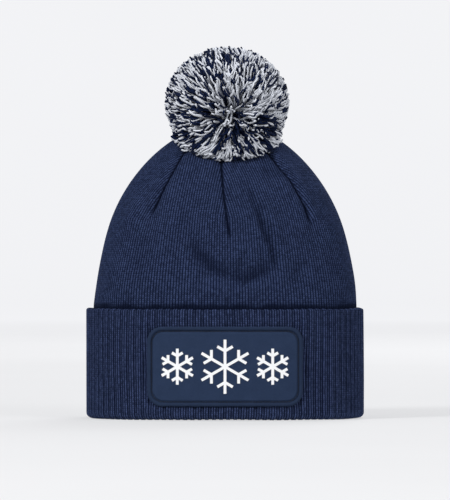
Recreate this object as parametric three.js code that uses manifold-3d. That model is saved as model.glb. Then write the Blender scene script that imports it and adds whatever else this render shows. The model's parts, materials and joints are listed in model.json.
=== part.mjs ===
// A cuffed knit beanie with a yarn pompom and a sewn patch. Millimetres, +Z up, front towards -Y.
// The hat stands on the fold of its cuff, with the origin under its centre.
import * as THREE from 'three';
import { mergeVertices } from 'three/addons/utils/BufferGeometryUtils.js';
import Module from 'manifold-3d';

const wasm = await Module();
wasm.setup();

// ---- driving dimensions ------------------------------------------------------------------

const SECTION_EXPONENT = 2.6;     // 2 is an ellipse, more is flatter at the front and the back
const SECTION_SEGMENTS = 48;
const CLEARANCE = 0.3;            // gap between pieces that lie against each other

const CUFF_HALF_WIDTH = 110;
const CUFF_HALF_DEPTH = 72;
const CUFF_HEIGHT = 87;
const CUFF_LEAF = 4;              // thickness of one leaf of the folded rib
const CUFF_FOLD_GAP = 1.5;        // space between the two leaves
const CUFF_FLAT = 3.9;            // width of the ring that the hat stands on
const INNER_LEAF_HEIGHT = 60;

const CROWN_HALF_WIDTH = 104;
const CROWN_HALF_DEPTH = 66;
const CROWN_TOP = 233;
const CROWN_LOW_EDGE = 62;
const CROWN_LEVELS = [0, 0.2, 0.4, 0.6, 0.75, 0.87, 0.94, 0.98];
const CROWN_HOLE = 4;             // radius of the gathered hole at the top
const JERSEY = 2.2;               // thickness of the outer knit
const LINING_INSET = 5.6;         // room for the seam allowances behind the outer knit
const LINING = 1.8;

const SEAM_CORD_RADIUS = 0.8;     // a rolled and sewn seam allowance
const DART_LOW = 0.46;            // where a dart starts and ends, as shares of the crown's rise
const DART_HIGH = 0.9;
const DART_SPREAD_LOW = 54;       // degrees from the middle of the front or the back, at the
const DART_SPREAD_HIGH = 60;      // low and at the high end of the side darts

const POMPOM_RADIUS = 49.4;
const POMPOM_HALF_HEIGHT = 44.5;
const POMPOM_CENTRE = 249;
const POMPOM_SHAFT = 9;           // radius of the hollow round the tie
const POMPOM_UNDERSIDE = [[9, 237], [22, 237], [34, 235.4]];   // radius and height
const TIE_PIVOT = 236;
const TIE_RADIUS = 3;
const TAIL_RADIUS = 1.6;
const KNOT_RADIUS = 5;

const PATCH_WIDTH = 121;
const PATCH_HEIGHT = 62;
const PATCH_CENTRE = 42;
const PATCH_CORNER = 11;
const PATCH_RIM = 2.6;            // width of the raised rim
const PATCH_GROOVE = 1.8;         // width of the groove between rim and middle panel
const PATCH_BACKING = 1.2;
const PATCH_RIM_HEIGHT = 1.2;
const PATCH_PANEL_HEIGHT = 1;
const PRINT_HEIGHT = 0.25;
const FLAKE_STROKE = 2.2;
const FLAKE_FORK = 0.55;          // where an arm's branches leave it, as a share of its length
const FLAKE_BRANCH = 0.3;        // how long they are, as a share of the arm's length
const PATCH_SEGMENTS = 18;

// ---- materials ---------------------------------------------------------------------------

function fabric(colour, roughness = 0.9) {
  return new THREE.MeshStandardMaterial({ color: colour, roughness, metalness: 0 });
}

const NAVY_JERSEY = fabric(0x222c46);
const NAVY_RIB = fabric(0x212a44);
const NAVY_LINING = fabric(0x2a344e);
const SEAM_THREAD = fabric(0x1b243c, 0.8);
const POMPOM_YARN = fabric(0x7d818c);
const TIE_CORD = fabric(0x1a2036, 0.8);
const PATCH_CLOTH = fabric(0x2a3955, 0.6);
const PATCH_THREAD = fabric(0x1c2741, 0.7);
const WHITE_PRINT = fabric(0xe6e8ec, 0.6);
const LABEL_SATIN = fabric(0xdadbde, 0.5);

const hat = new THREE.Group();

function addPiece(name, geometry, material) {
  const mesh = new THREE.Mesh(geometry, material);
  mesh.name = name;
  hat.add(mesh);
  return mesh;
}

// ---- solids ------------------------------------------------------------------------------

function asSolid(geometry) {
  const bare = geometry.clone();
  bare.deleteAttribute('normal');
  bare.deleteAttribute('uv');
  const merged = mergeVertices(bare, 1e-4);
  return new wasm.Manifold(new wasm.Mesh({
    numProp: 3,
    vertProperties: Float32Array.from(merged.attributes.position.array),
    triVerts: Uint32Array.from(merged.index.array),
  }));
}

function asGeometry(solid) {
  const mesh = solid.getMesh();
  const geometry = new THREE.BufferGeometry();
  geometry.setAttribute('position', new THREE.BufferAttribute(mesh.vertProperties, 3));
  geometry.setIndex(new THREE.BufferAttribute(mesh.triVerts, 1));
  geometry.computeVertexNormals();
  return geometry;
}

// The hat's flattened round section: the distance from the axis at one angle.
function sectionRadius(angle, halfWidth, halfDepth) {
  const across = Math.abs(Math.cos(angle)) / halfWidth;
  const along = Math.abs(Math.sin(angle)) / halfDepth;
  return (across ** SECTION_EXPONENT + along ** SECTION_EXPONENT) ** (-1 / SECTION_EXPONENT);
}

// A closed band through a loop of rings, which runs up the outside and down the inside.
function bandGeometry(rings, segments = SECTION_SEGMENTS) {
  const positions = [];
  const faces = [];
  for (const ring of rings) {
    for (let i = 0; i < segments; i += 1) {
      const angle = (2 * Math.PI * i) / segments;
      const radius = sectionRadius(angle, ring.halfWidth, ring.halfDepth);
      positions.push(radius * Math.cos(angle), radius * Math.sin(angle), ring.z);
    }
  }
  for (let row = 0; row < rings.length; row += 1) {
    const above = (row + 1) % rings.length;
    for (let i = 0; i < segments; i += 1) {
      const next = (i + 1) % segments;
      const corners = [
        row * segments + i,
        row * segments + next,
        above * segments + next,
        above * segments + i,
      ];
      faces.push(corners[0], corners[1], corners[2]);
      faces.push(corners[0], corners[2], corners[3]);
    }
  }
  const geometry = new THREE.BufferGeometry();
  geometry.setAttribute('position', new THREE.Float32BufferAttribute(positions, 3));
  geometry.setIndex(faces);
  geometry.computeVertexNormals();
  return geometry;
}

// A cord of round section along a list of points, with blunt ends.
function cordGeometry(points, radius, steps) {
  const section = new THREE.Shape();
  section.absarc(0, 0, radius, 0, 2 * Math.PI);
  return new THREE.ExtrudeGeometry(section, {
    steps,
    curveSegments: 3,
    bevelEnabled: false,
    extrudePath: new THREE.CatmullRomCurve3(points),
  });
}

function turnedGeometry(profile, segments) {
  const points = profile.map(([radius, z]) => new THREE.Vector2(radius, z));
  const geometry = new THREE.LatheGeometry(points, segments);
  geometry.rotateX(Math.PI / 2);
  return geometry;
}

// ---- crown -------------------------------------------------------------------------------

// The crown at a share of its rise, drawn in from its outer face by an inset. The front view
// stays broad and the side view tapers, as a soft crown does where it is sewn to a point.
function crownRing(share, inset) {
  return {
    halfWidth: (CROWN_HALF_WIDTH - inset) * Math.sqrt(1 - share ** 1.9),
    halfDepth: (CROWN_HALF_DEPTH - inset) * (1 - share ** 1.7) ** 0.6,
    z: CUFF_HEIGHT + share * (CROWN_TOP - inset - CUFF_HEIGHT),
  };
}

function crownFace(inset) {
  const straight = {
    halfWidth: CROWN_HALF_WIDTH - inset,
    halfDepth: CROWN_HALF_DEPTH - inset,
    z: CROWN_LOW_EDGE,
  };
  const hole = { halfWidth: CROWN_HOLE, halfDepth: CROWN_HOLE, z: CROWN_TOP - inset };
  return [straight, ...CROWN_LEVELS.map((share) => crownRing(share, inset)), hole];
}

function crownShell(inset, thickness) {
  const outside = crownFace(inset);
  const inside = crownFace(inset + thickness).reverse();
  return bandGeometry([...outside, ...inside]);
}

addPiece('outer_crown', crownShell(0, JERSEY), NAVY_JERSEY);
addPiece('inner_lining', crownShell(LINING_INSET, LINING), NAVY_LINING);

// ---- seams of the crown ------------------------------------------------------------------

const SEAM_INSET = (JERSEY + LINING_INSET) / 2;

function crownPoint(degrees, ring) {
  const angle = THREE.MathUtils.degToRad(degrees);
  const radius = sectionRadius(angle, ring.halfWidth, ring.halfDepth);
  return new THREE.Vector3(radius * Math.cos(angle), radius * Math.sin(angle), ring.z);
}

// Each dart faces the front (-90) or the back (90), in the middle (0) or to one side (1 or -1).
const DARTS = [
  { name: 'front', facing: -90, side: 0 },
  { name: 'front_right', facing: -90, side: 1 },
  { name: 'back_right', facing: 90, side: -1 },
  { name: 'back', facing: 90, side: 0 },
  { name: 'back_left', facing: 90, side: 1 },
  { name: 'front_left', facing: -90, side: -1 },
];
const DART_STEPS = 7;

for (const dart of DARTS) {
  const points = [];
  for (let i = 0; i <= DART_STEPS; i += 1) {
    const along = i / DART_STEPS;
    const spread = THREE.MathUtils.lerp(DART_SPREAD_LOW, DART_SPREAD_HIGH, along);
    const ring = crownRing(THREE.MathUtils.lerp(DART_LOW, DART_HIGH, along), SEAM_INSET);
    points.push(crownPoint(dart.facing + dart.side * spread, ring));
  }
  const cord = cordGeometry(points, SEAM_CORD_RADIUS, DART_STEPS);
  addPiece(`dart_seam_${dart.name}`, cord, SEAM_THREAD);
}

// The back seam runs up from the crown's low edge to just under the back dart.
const backSeamPoints = [0, 0.15, 0.3, DART_LOW - 0.03].map((share) => (
  crownPoint(90, crownRing(share, SEAM_INSET))
));
const backSeamFoot = backSeamPoints[0].clone();
backSeamFoot.z = CROWN_LOW_EDGE + 3;
const backSeam = cordGeometry([backSeamFoot, ...backSeamPoints], SEAM_CORD_RADIUS, 6);
addPiece('crown_back_seam', backSeam, SEAM_THREAD);

function seamRing(inset, z) {
  return { halfWidth: CROWN_HALF_WIDTH - inset, halfDepth: CROWN_HALF_DEPTH - inset, z };
}

const SEAM_BOTTOM = INNER_LEAF_HEIGHT + CLEARANCE;
const SEAM_TOP = CROWN_LOW_EDGE - CLEARANCE;
const LINING_INSIDE = LINING_INSET + LINING;
addPiece('crown_to_cuff_seam', bandGeometry([
  seamRing(0, SEAM_BOTTOM),
  seamRing(0, SEAM_TOP),
  seamRing(LINING_INSIDE, SEAM_TOP),
  seamRing(LINING_INSIDE, SEAM_BOTTOM),
]), SEAM_THREAD);

const GATHER_RADIUS = (CROWN_HOLE + TAIL_RADIUS) / 2;
const GATHER_THREAD = 0.7;
const gatherThread = new THREE.TorusGeometry(GATHER_RADIUS, GATHER_THREAD, 6, 18);
addPiece('crown_gather_thread', gatherThread, SEAM_THREAD)
  .position.set(0, 0, CROWN_TOP - JERSEY / 2);

// ---- cuff --------------------------------------------------------------------------------

const CUFF_WALL = 2 * CUFF_LEAF + CUFF_FOLD_GAP;
const FLAT_START = (CUFF_WALL - CUFF_FLAT) / 2;

function cuffRing(inset, z) {
  return { halfWidth: CUFF_HALF_WIDTH - inset, halfDepth: CUFF_HALF_DEPTH - inset, z };
}

// Each pair is an inset from the cuff's outer face and a height.
const CUFF_PROFILE = [
  [FLAT_START, 0],
  [0.8, 0.9],
  [0, 3],
  [0, CUFF_HEIGHT - 3],
  [0.7, CUFF_HEIGHT - 0.8],
  [CUFF_LEAF / 2, CUFF_HEIGHT],
  [CUFF_LEAF - 0.7, CUFF_HEIGHT - 0.8],
  [CUFF_LEAF, CUFF_HEIGHT - 3],
  [CUFF_LEAF, 9],
  [CUFF_WALL / 2, 7],
  [CUFF_LEAF + CUFF_FOLD_GAP, 9],
  [CUFF_LEAF + CUFF_FOLD_GAP, INNER_LEAF_HEIGHT],
  [CUFF_WALL, INNER_LEAF_HEIGHT],
  [CUFF_WALL, 3],
  [CUFF_WALL - 0.8, 0.9],
  [CUFF_WALL - FLAT_START, 0],
];
addPiece('cuff', bandGeometry(CUFF_PROFILE.map(([inset, z]) => cuffRing(inset, z))), NAVY_RIB);

const SEAM_STAND_OFF = 2 * SEAM_CORD_RADIUS + CLEARANCE;
const cuffBackSeamY = CUFF_HALF_DEPTH + CLEARANCE + SEAM_CORD_RADIUS;
addPiece('cuff_back_seam', cordGeometry([
  new THREE.Vector3(0, cuffBackSeamY, 4),
  new THREE.Vector3(0, cuffBackSeamY, CUFF_HEIGHT - 4),
], SEAM_CORD_RADIUS, 2), SEAM_THREAD);

// ---- pompom and its tie ------------------------------------------------------------------

// A point of the pompom's outline, from its equator at 0 to its top at 90 degrees.
function pompomPoint(degrees) {
  const angle = THREE.MathUtils.degToRad(degrees);
  return [
    POMPOM_RADIUS * Math.cos(angle),
    POMPOM_CENTRE + POMPOM_HALF_HEIGHT * Math.sin(angle),
  ];
}

const POMPOM_SHAFT_TOP = POMPOM_CENTRE + 6;
const POMPOM_OUTLINE = [-23, -10, 5, 20, 35, 50, 65, 78].map(pompomPoint);
addPiece('pompom_yarn', turnedGeometry([
  [0, POMPOM_SHAFT_TOP],
  [POMPOM_SHAFT, POMPOM_SHAFT_TOP],
  ...POMPOM_UNDERSIDE,
  ...POMPOM_OUTLINE,
  [0, POMPOM_CENTRE + POMPOM_HALF_HEIGHT],
], 32), POMPOM_YARN);

addPiece('pompom_binding', new THREE.TorusGeometry(6, 1.8, 8, 20), TIE_CORD)
  .position.set(0, 0, POMPOM_CENTRE);

const STEM_BOTTOM = TIE_PIVOT - 2.2;
const STEM_TOP = TIE_PIVOT + 8.5;
addPiece('tie_stem', turnedGeometry([
  [0, STEM_BOTTOM],
  [TIE_RADIUS * 0.7, STEM_BOTTOM + 0.4],
  [TIE_RADIUS, STEM_BOTTOM + 2],
  [TIE_RADIUS * 0.8, TIE_PIVOT + 3],
  [TIE_RADIUS, STEM_TOP - 2],
  [TIE_RADIUS * 0.7, STEM_TOP - 0.4],
  [0, STEM_TOP],
], 14), TIE_CORD);

const KNOT_TOP = CROWN_TOP - LINING_INSIDE - 1.2;
const KNOT_BOTTOM = KNOT_TOP - 2 * KNOT_RADIUS;
addPiece('anchor_knot', turnedGeometry([
  [0, KNOT_BOTTOM],
  [KNOT_RADIUS * 0.7, KNOT_BOTTOM + 1.4],
  [KNOT_RADIUS, KNOT_BOTTOM + KNOT_RADIUS],
  [KNOT_RADIUS * 0.7, KNOT_TOP - 1.4],
  [TAIL_RADIUS, KNOT_TOP],
  [TAIL_RADIUS, CROWN_TOP],
  [0, CROWN_TOP],
], 14), TIE_CORD);

// ---- patch -------------------------------------------------------------------------------

// The cuff's front face at x, pushed out by an offset.
function cuffFrontY(x, offset) {
  const reach = Math.abs(x) / (CUFF_HALF_WIDTH + offset);
  const depth = (1 - reach ** SECTION_EXPONENT) ** (1 / SECTION_EXPONENT);
  return -(CUFF_HALF_DEPTH + offset) * depth;
}

// A slab between two offsets from the cuff's front face, which follows the face's curve.
function curvedSlab(width, height, from, to) {
  const geometry = new THREE.BoxGeometry(width, 1, height, PATCH_SEGMENTS, 1, 1);
  const position = geometry.attributes.position;
  for (let i = 0; i < position.count; i += 1) {
    const offset = position.getY(i) < 0 ? to : from;
    position.setY(i, cuffFrontY(position.getX(i), offset));
    position.setZ(i, position.getZ(i) + PATCH_CENTRE);
  }
  return asSolid(geometry);
}

function roundedRectangle(width, height, corner) {
  const shape = new THREE.Shape();
  const x = width / 2 - corner;
  const z = height / 2 - corner;
  shape.absarc(x, z, corner, 0, Math.PI / 2);
  shape.absarc(-x, z, corner, Math.PI / 2, Math.PI);
  shape.absarc(-x, -z, corner, Math.PI, 1.5 * Math.PI);
  shape.absarc(x, -z, corner, 1.5 * Math.PI, 2 * Math.PI);
  return shape;
}

// A straight cutter through the patch, with the outline of a shape drawn in X and Z.
function patchCutter(shape, centreX = 0) {
  const reach = 60;
  const geometry = new THREE.ExtrudeGeometry(shape, {
    depth: reach, bevelEnabled: false, curveSegments: 4,
  });
  geometry.rotateX(Math.PI / 2);
  geometry.translate(centreX, -CUFF_HALF_DEPTH + reach / 2, PATCH_CENTRE);
  return asSolid(geometry);
}

function inPatch(inset) {
  return patchCutter(roundedRectangle(
    PATCH_WIDTH - 2 * inset,
    PATCH_HEIGHT - 2 * inset,
    PATCH_CORNER - inset / 2,
  ));
}

function patchLayer(from, thickness) {
  return curvedSlab(PATCH_WIDTH + 2, PATCH_HEIGHT + 2, from, from + thickness);
}

const RIM_FROM = 2 * CLEARANCE + PATCH_BACKING;
const PANEL_INSET = PATCH_RIM + PATCH_GROOVE;
const THREAD_MARGIN = 0.4;
const PRINT_FROM = RIM_FROM + PATCH_PANEL_HEIGHT + CLEARANCE;

addPiece('patch_backing', asGeometry(
  patchLayer(CLEARANCE, PATCH_BACKING).intersect(inPatch(0)),
), PATCH_CLOTH);
addPiece('patch_border', asGeometry(
  patchLayer(RIM_FROM, PATCH_RIM_HEIGHT).intersect(inPatch(0)).subtract(inPatch(PATCH_RIM)),
), PATCH_CLOTH);
addPiece('patch_panel', asGeometry(
  patchLayer(RIM_FROM, PATCH_PANEL_HEIGHT).intersect(inPatch(PANEL_INSET)),
), PATCH_CLOTH);
addPiece('patch_stitching', asGeometry(
  patchLayer(RIM_FROM, 0.6)
    .intersect(inPatch(PATCH_RIM + THREAD_MARGIN))
    .subtract(inPatch(PANEL_INSET - THREAD_MARGIN)),
), PATCH_THREAD);

// A plain six-armed snowflake with one pair of branches on each arm.
function snowflake(radius) {
  const half = FLAKE_STROKE / 2;
  const side = Math.sqrt(3) / 2;
  const fork = radius * FLAKE_FORK;
  const branch = radius * FLAKE_BRANCH;
  const edge = [
    [2 * side * half, half],
    [fork, half],
    [fork + branch / 2, half + branch * side],
    [fork + branch / 2 + 2 * side * half, branch * side],
    [fork + half * 4 / Math.sqrt(3), half],
    [radius, half],
  ];
  const outward = edge.slice(1).map(([out, across]) => [out, -across]);
  const inward = edge.slice().reverse();
  const points = [];
  for (let arm = 0; arm < 6; arm += 1) {
    const angle = (arm * Math.PI) / 3 + Math.PI / 6;
    for (const [out, across] of [...outward, ...inward]) {
      points.push(new THREE.Vector2(out, across).rotateAround(new THREE.Vector2(), angle));
    }
  }
  return new THREE.Shape(points);
}

const FLAKES = [
  { side: 'left', x: -37, radius: 14 },
  { side: 'centre', x: 0, radius: 21 },
  { side: 'right', x: 37, radius: 14 },
];
for (const flake of FLAKES) {
  const print = patchLayer(PRINT_FROM, PRINT_HEIGHT)
    .intersect(patchCutter(snowflake(flake.radius), flake.x));
  addPiece(`print_snowflake_${flake.side}`, asGeometry(print), WHITE_PRINT);
}

// ---- care label --------------------------------------------------------------------------

const LABEL = { width: 22, height: 32, thickness: 0.8, stand: 0.8 };
addPiece('care_label', new THREE.BoxGeometry(LABEL.width, LABEL.thickness, LABEL.height), LABEL_SATIN)
  .position.set(
    0,
    CUFF_HALF_DEPTH - CUFF_WALL - LABEL.stand - LABEL.thickness / 2,
    INNER_LEAF_HEIGHT - LABEL.height / 2 - 1,
  );

// The print stands out further in front than the seam does behind, so the hat is moved back to
// keep its box centred on the origin.
hat.position.y = (PRINT_FROM + PRINT_HEIGHT - SEAM_STAND_OFF) / 2;

export default hat;
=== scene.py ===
"""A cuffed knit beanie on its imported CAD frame: knit crown, rib cuff, sewn patch, yarn pompom."""
import itertools
import json
import math

import bmesh
import bpy
import numpy as np
from mathutils import Matrix, Vector


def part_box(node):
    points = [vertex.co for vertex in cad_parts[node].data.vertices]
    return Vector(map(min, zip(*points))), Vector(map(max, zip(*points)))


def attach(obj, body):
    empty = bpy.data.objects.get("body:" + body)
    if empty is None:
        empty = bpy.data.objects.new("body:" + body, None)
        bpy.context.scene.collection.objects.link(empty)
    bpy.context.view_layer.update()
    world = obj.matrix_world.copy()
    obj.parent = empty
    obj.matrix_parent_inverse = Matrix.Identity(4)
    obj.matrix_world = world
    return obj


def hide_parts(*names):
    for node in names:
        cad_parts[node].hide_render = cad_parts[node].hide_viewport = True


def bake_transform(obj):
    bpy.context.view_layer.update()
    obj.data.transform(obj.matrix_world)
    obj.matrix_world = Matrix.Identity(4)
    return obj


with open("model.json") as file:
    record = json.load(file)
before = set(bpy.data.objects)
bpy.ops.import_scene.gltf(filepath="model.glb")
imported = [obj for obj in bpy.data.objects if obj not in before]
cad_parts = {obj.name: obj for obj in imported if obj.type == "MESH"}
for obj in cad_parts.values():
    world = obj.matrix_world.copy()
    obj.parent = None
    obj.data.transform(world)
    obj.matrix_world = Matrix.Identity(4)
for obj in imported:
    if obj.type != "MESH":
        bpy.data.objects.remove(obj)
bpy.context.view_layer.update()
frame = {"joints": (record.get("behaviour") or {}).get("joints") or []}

MM = 0.001
TURN = 2 * math.pi


def box_of(node):
    low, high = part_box(node)
    return np.array(low), np.array(high)


CUFF_LOW, CUFF_HIGH = box_of("cuff")
CROWN_LOW, CROWN_HIGH = box_of("outer_crown")
POMPOM_LOW, POMPOM_HIGH = box_of("pompom_yarn")
PATCH_LOW, PATCH_HIGH = box_of("patch_backing")
CUFF_HALF_WIDTH, CUFF_HALF_DEPTH, _ = (CUFF_HIGH - CUFF_LOW) / 2
CROWN_HALF_WIDTH, CROWN_HALF_DEPTH, _ = (CROWN_HIGH - CROWN_LOW) / 2
PATCH_HALF_WIDTH, _, PATCH_HALF_HEIGHT = (PATCH_HIGH - PATCH_LOW) / 2
PATCH_CENTRE = (PATCH_HIGH[2] + PATCH_LOW[2]) / 2
MIDDLE_Y = (CUFF_LOW[1] + CUFF_HIGH[1]) / 2
BAND_TOP = CUFF_HIGH[2]
CROWN_EDGE, CROWN_TIP = CROWN_LOW[2], CROWN_HIGH[2]
PIVOT = np.array(frame["joints"][0]["pos_m"])
SECTION_EXPONENT = 2.6            # 2 is an ellipse, more is flatter at the front and the back


# ---- camera, light and stage ----

FRAME_HEIGHT = 0.395              # what the picture takes in at the hat's middle plane
CAMERA_DISTANCE = 4.0
CAMERA_HEIGHT = 0.1325
LIGHT_AIM = Vector((0, 0, 0.14))
LIGHTS = (                        # name, place, size and watts
    ("key", (-2.4, -2.4, 2.1), 1.0, 106),
    ("fill", (2.4, -2.8, 1.3), 2.0, 68),
    ("rim", (0.9, 2.6, 2.6), 1.8, 70),
)
SKY_STRENGTH = 0.36
STAGE_GLOW = (0.52, 0.79)         # the backdrop glows like a light table, near and far
STAGE_GLOW_REACH = (1.8, 5.6)     # distances from the hat between which the glow changes
FLOOR_RADIUS, SWEEP, WALL_HEIGHT = 9.0, 2.0, 6.0


def make_camera():
    data = bpy.data.cameras.new("camera")
    data.lens = data.sensor_width * CAMERA_DISTANCE / FRAME_HEIGHT
    data.clip_end = 60
    camera = add_object("camera", data)
    camera.location = (0, MIDDLE_Y - CAMERA_DISTANCE, CAMERA_HEIGHT)
    camera.rotation_euler = (math.radians(90), 0, 0)
    bpy.context.scene.camera = camera


def make_lights():
    for name, place, size, watts in LIGHTS:
        data = bpy.data.lights.new(name, "AREA")
        data.size = size
        data.energy = watts
        light = add_object(name, data)
        light.location = place
        light.rotation_euler = (LIGHT_AIM - Vector(place)).to_track_quat("-Z", "Y").to_euler()


def make_world():
    world = bpy.data.worlds.new("studio")
    world.use_nodes = True
    background = world.node_tree.nodes["Background"]
    background.inputs["Color"].default_value = (0.97, 0.98, 1, 1)
    background.inputs["Strength"].default_value = SKY_STRENGTH
    bpy.context.scene.world = world


def make_stage():
    """A pale round floor whose rim sweeps up into a wall, so it backs every view."""
    bend = np.linspace(0, math.pi / 2, 13)
    edge = FLOOR_RADIUS + SWEEP
    radius = np.concatenate([[0.001, 1, 4], FLOOR_RADIUS + SWEEP * np.sin(bend), [edge]])
    height = np.concatenate([[0, 0, 0], SWEEP * (1 - np.cos(bend)), [WALL_HEIGHT]])
    around = np.linspace(0, TURN, 96, endpoint=False)
    points = round_points(radius[:, None], around, height[:, None])
    stage = grid_object("stage", points, close_rows=False, flip=True)
    stage.data.materials.append(stage_paint())
    stage.visible_diffuse = False


def stage_paint():
    """Pale paper that glows more with the distance from the hat."""
    paint = Paint("stage_paper")
    grain = paint.noise(scale=3.0, detail=2.0)
    distance = paint.node("ShaderNodeVectorMath", [paint.place()], operation="LENGTH")
    start, end = STAGE_GLOW_REACH
    far = paint.math("SUBTRACT", distance.outputs["Value"], start)
    far = paint.math("DIVIDE", far, end - start, clamp=True)
    paint.feed("Emission Color", (0.97, 0.975, 1.0))
    paint.feed("Emission Strength", paint.span(far, *STAGE_GLOW))
    return paint.finish(
        paint.mix_colours(grain, (0.29, 0.291, 0.293), (0.31, 0.311, 0.313)), specular=0.0,
    )


# ---- meshes ----

def add_object(name, data):
    thing = bpy.data.objects.new(name, data)
    bpy.context.scene.collection.objects.link(thing)
    return thing


def stand_for(piece, paint, node, body="root"):
    """Dresses a piece and says which CAD node it replaces and the body it rides."""
    piece.data.materials.append(paint)
    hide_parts(node)
    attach(piece, body)


def mesh_object(name, points, quads):
    """A smooth-shaded object from points and faces of four corners."""
    points = np.asarray(points, np.float32).ravel()
    quads = np.asarray(quads, np.int32).ravel()
    count = len(quads) // 4
    mesh = bpy.data.meshes.new(name)
    mesh.vertices.add(len(points) // 3)
    mesh.vertices.foreach_set("co", points)
    mesh.loops.add(len(quads))
    mesh.loops.foreach_set("vertex_index", quads)
    mesh.polygons.add(count)
    mesh.polygons.foreach_set("loop_start", np.arange(count, dtype=np.int32) * 4)
    mesh.polygons.foreach_set("use_smooth", np.ones(count, bool))
    mesh.update(calc_edges=True)
    mesh.validate()
    return add_object(name, mesh)


def grid_quads(rows, columns, close_rows):
    """Quads of a grid that closes round its columns, and round its rows if close_rows."""
    row = np.arange(rows if close_rows else rows - 1)[:, None]
    column = np.arange(columns)
    above = (row + 1) % rows * columns
    beside = (column + 1) % columns
    row = row * columns
    corners = [row + column, row + beside, above + beside, above + column]
    return np.stack(corners, axis=-1).reshape(-1, 4)


def tube_quads(rings, sides, closed=False):
    """Quads of a tube of rings, which closes in a loop or has a cap at both ends."""
    walls = grid_quads(rings, sides, closed)
    if closed:
        return walls
    i = np.arange(sides // 2 - 1)
    cap = np.stack([i, i + 1, sides - 2 - i, sides - 1 - i], axis=-1)
    return np.concatenate([walls, cap[:, ::-1], cap + (rings - 1) * sides])


def grid_object(name, points, close_rows=True, flip=False):
    quads = grid_quads(*points.shape[:2], close_rows)
    return mesh_object(name, points, quads[:, ::-1] if flip else quads)


def slab_object(name, loops):
    """A closed skin through loops of points: each loop runs up one face and down the other."""
    return mesh_object(name, loops, tube_quads(*loops.shape[:2]))


def set_attribute(thing, name, *parts):
    """Stores one vector for each vertex, for the material to read."""
    values = np.stack(np.broadcast_arrays(*parts), axis=-1)
    attribute = thing.data.attributes.new(name, "FLOAT_VECTOR", "POINT")
    attribute.data.foreach_set("vector", values.astype(np.float32).ravel())


def knit_attribute(thing, wale, course, shade=0.0):
    """The stitch grid: each vertex's wale and course, and how much painted shade darkens it where it
    lies in a crease or hollow; below 0 it is painted light.
    """
    set_attribute(thing, "knit", wale, course, shade)


# ---- points, lines and smooth fields ----

def unit(vectors):
    return vectors / np.linalg.norm(vectors, axis=-1, keepdims=True)


def ramp(value, start, end):
    """0 before start, 1 after end, smooth between."""
    t = np.clip((value - start) / (end - start), 0, 1)
    return t * t * (3 - 2 * t)


def bell(distance, width, power=2):
    """1 at no distance, falling smoothly towards 0 past the width."""
    return np.exp(-(distance / width) ** power)


def swung(first, second, angle):
    """The first direction turned towards the second, once for each angle."""
    return first * np.cos(angle)[..., None] + second * np.sin(angle)[..., None]


def round_points(radius, around, height):
    """Points about the Z axis from radii, turns in radians and heights."""
    parts = radius * np.cos(around), radius * np.sin(around), height
    return np.stack(np.broadcast_arrays(*parts), axis=-1)


def steps_past(points, axis, closed):
    """The step between the neighbours of each point along an axis, which may be a ring."""
    if closed:
        return np.roll(points, -1, axis) - np.roll(points, 1, axis)
    return np.gradient(points, axis=axis)


def run_length(points):
    """How far along a line of points each of them lies."""
    steps = np.hypot.reduce(np.diff(points, axis=0), axis=1)
    return np.concatenate([[0], np.cumsum(steps)])


def even_shares(count):
    return np.arange(count) / count


def ripple(share, z, seed, waves=7, turns=6, rise=20.0):
    """A smooth random field of about unit size that closes round the hat."""
    chance = np.random.default_rng(seed)
    total = 0
    for _ in range(waves):
        around = chance.integers(1, turns + 1)
        upward = chance.uniform(-rise, rise)
        phase = chance.uniform(0, TURN)
        total = total + np.sin(TURN * (around * share + upward * z) + phase)
    return total / math.sqrt(waves)


def distance_to_path(x, z, path):
    """Distance in the front plane to a line of points, with the share along it of the foot."""
    best = np.full(x.shape, np.inf)
    along = np.zeros(x.shape)
    path = np.array(path)
    for i, (start, end) in enumerate(zip(path[:-1], path[1:])):
        run = end - start
        t = ((x - start[0]) * run[0] + (z - start[1]) * run[1]) / (run @ run)
        t = np.clip(t, 0, 1)
        d = np.hypot(x - start[0] - t * run[0], z - start[1] - t * run[1])
        closer = d < best
        best = np.where(closer, d, best)
        along = np.where(closer, (i + t) / (len(path) - 1), along)
    return best, along


# ---- the hat's section ----

def section_loop(half_width, half_depth, shares):
    """Points of the section at shares of its perimeter, with the perimeter's length.

    The perimeter runs from the middle of the back by -X to the front, and on by +X.
    """
    angle = np.linspace(0, TURN, 1441) + math.pi / 2
    across = np.abs(np.cos(angle)) / half_width
    along = np.abs(np.sin(angle)) / half_depth
    radius = (across ** SECTION_EXPONENT + along ** SECTION_EXPONENT) ** (-1 / SECTION_EXPONENT)
    x, y = radius * np.cos(angle), radius * np.sin(angle)
    length = run_length(np.stack([x, y], axis=1))
    share = length / length[-1]
    return np.interp(shares, share, x), np.interp(shares, share, y), length[-1]


def section_depth(x, half_width, half_depth):
    """How far in front of or behind the middle the section's face lies at x."""
    share = np.clip(np.abs(x) / half_width, 0, 1)
    return half_depth * (1 - share ** SECTION_EXPONENT) ** (1 / SECTION_EXPONENT)


def band_points(half_widths, half_depths, heights, shares):
    """Rings of section points, one row for each height, with each ring's perimeter."""
    points = np.zeros((len(heights), len(shares), 3))
    perimeters = np.zeros(len(heights))
    for row, (wide, deep, z) in enumerate(zip(half_widths, half_depths, heights)):
        x, y, perimeters[row] = section_loop(wide, deep, shares)
        points[row] = np.stack(np.broadcast_arrays(x, y + MIDDLE_Y, z), axis=1)
    return points, perimeters


def pushed_out(points, distance, close_rows=False):
    """A grid of points moved along its normals by a distance for each point."""
    normal = np.cross(steps_past(points, 1, True), steps_past(points, 0, close_rows))
    size = np.maximum(np.linalg.norm(normal, axis=-1, keepdims=True), 1e-12)
    return points + distance[..., None] * (normal / size)


# ---- materials ----

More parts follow.
